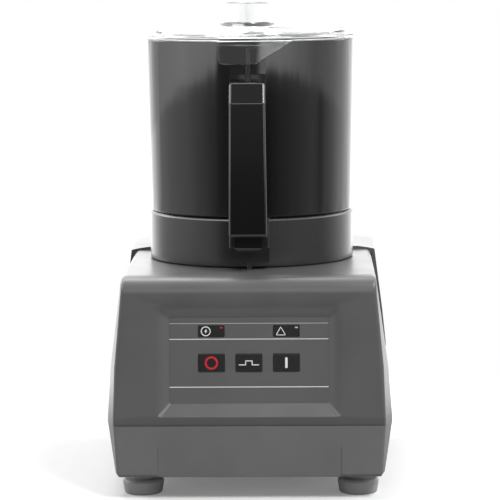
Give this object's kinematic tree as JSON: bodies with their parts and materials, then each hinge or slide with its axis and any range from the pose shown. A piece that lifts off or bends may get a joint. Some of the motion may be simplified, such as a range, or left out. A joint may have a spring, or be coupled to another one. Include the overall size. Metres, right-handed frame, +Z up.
{
  "type": "table-top food cutter and processor",
  "caption": "Table-top bowl cutter: grey motor housing with a recessed button panel, a lift-off black bowl with a loop handle, two-level sickle knife and a clear turning lid.",
  "frame": {"origin": "middle of the base, on the surface that the feet stand on", "axes": "+Z up, the front panel faces -Y, +X to the right as seen from the front"},
  "size_m": [0.252, 0.309, 0.4338],
  "materials": {
    "housing_paint": "dark grey textured powder coat on cast aluminium",
    "black_gloss": "polished black moulded plastic",
    "black_satin": "satin black moulded plastic",
    "clear_lid": "clear polished polycarbonate",
    "lid_seal": "translucent grey silicone",
    "panel_film": "satin grey polyester film",
    "button_black": "black moulded plastic with a clear face",
    "foot_rubber": "dull dark rubber",
    "plated_steel": "bright zinc plate",
    "machined_steel": "turned and ground",
    "blade_steel": "ground stainless steel",
    "cast_alloy": "as cast, machined on its seats",
    "winding_copper": "varnished copper wire",
    "board_green": "solder mask",
    "nylon": "natural nylon"
  },
  "bodies": {
    "base": {"upper_housing": "housing_paint", "lower_tub": "housing_paint", "bottom_plate": "plated_steel", "rear_cover": "housing_paint", "cord_gland": "black_satin", "feet": "foot_rubber", "foot_screws": "plated_steel", "plate_screws": "plated_steel", "housing_screws": "plated_steel", "cover_screws": "plated_steel", "panel_overlay": "panel_film", "power_indicator": "button_black", "fault_indicator": "button_black", "control_board": "board_green", "board_screws": "plated_steel", "upper_end_shield": "cast_alloy", "lower_end_shield": "cast_alloy", "stator_core": "machined_steel", "stator_windings": "winding_copper", "motor_bolts": "plated_steel", "upper_bearing": "machined_steel", "lower_bearing": "machined_steel", "start_capacitor": "black_satin", "capacitor_clip": "plated_steel", "terminal_block": "nylon", "drive_pedestal": "cast_alloy", "pedestal_screws": "plated_steel", "shaft_seal": "foot_rubber", "safety_switch": "black_satin"},
    "drive": {"motor_rotor": "cast_alloy", "drive_shaft": "machined_steel", "cooling_fan": "black_satin"},
    "plunger": {"switch_plunger": "nylon"},
    "bowl": {"bowl_shell": "black_gloss", "bowl_base_ring": "black_satin", "ring_screws": "plated_steel", "bowl_handle": "black_gloss", "rod_guide_panel": "black_satin", "panel_fixing_screws": "plated_steel", "rod_spring": "plated_steel"},
    "rod": {"interlock_rod": "black_satin"},
    "knife": {"knife_hub": "black_satin", "lower_blade": "blade_steel", "blade_spacer": "black_satin", "upper_blade": "blade_steel", "blade_clamp_nut": "black_satin"},
    "lid_seal": {"lid_gasket": "lid_seal"},
    "lid": {"lid": "clear_lid"},
    "stop_button": {"button_stop": "button_black"},
    "pulse_button": {"button_pulse": "button_black"},
    "start_button": {"button_start": "button_black"}
  },
  "joints": [
    {"name": "shaft_spin", "type": "hinge", "parent": "base", "child": "drive", "pos_m": [0, 0.004, 0], "axis": [0, 0, 1], "continuous": true},
    {"name": "bowl_lift", "type": "slide", "parent": "base", "child": "bowl", "axis": [0, 0, 1], "range_m": [0, 0.18]},
    {"name": "knife_spin", "type": "hinge", "parent": "bowl", "child": "knife", "pos_m": [0, 0.004, 0], "axis": [0, 0, 1], "continuous": true},
    {"name": "lid_lift", "type": "slide", "parent": "bowl", "child": "lid_seal", "axis": [0, 0, 1], "range_m": [0, 0.1]},
    {"name": "lid_turn", "type": "hinge", "parent": "lid_seal", "child": "lid", "pos_m": [0, 0.004, 0], "axis": [0, 0, 1], "range_deg": [-35, 0]},
    {"name": "rod_rise", "type": "slide", "parent": "bowl", "child": "rod", "axis": [0, 0, 1], "range_m": [0, 0.006], "deforming": ["rod_spring"]},
    {"name": "plunger_rise", "type": "slide", "parent": "base", "child": "plunger", "axis": [0, 0, 1], "range_m": [0, 0.0026]},
    {"name": "stop_press", "type": "slide", "parent": "base", "child": "stop_button", "axis": [0, 0.9981, -0.061], "range_m": [0, 0.0006], "stiffness_N_per_m": 900, "springref_m": -0.0008},
    {"name": "pulse_press", "type": "slide", "parent": "base", "child": "pulse_button", "axis": [0, 0.9981, -0.061], "range_m": [0, 0.0006], "stiffness_N_per_m": 900, "springref_m": -0.0008},
    {"name": "start_press", "type": "slide", "parent": "base", "child": "start_button", "axis": [0, 0.9981, -0.061], "range_m": [0, 0.0006], "stiffness_N_per_m": 900, "springref_m": -0.0008}
  ],
  "couplings": [
    {"joint": "knife_spin", "follows": "shaft_spin", "ratio": 1},
    {"joint": "rod_rise", "follows": "lid_turn", "m_per_rad": -0.0098},
    {"joint": "plunger_rise", "follows": "lid_turn", "m_per_rad": -0.0042}
  ]
}
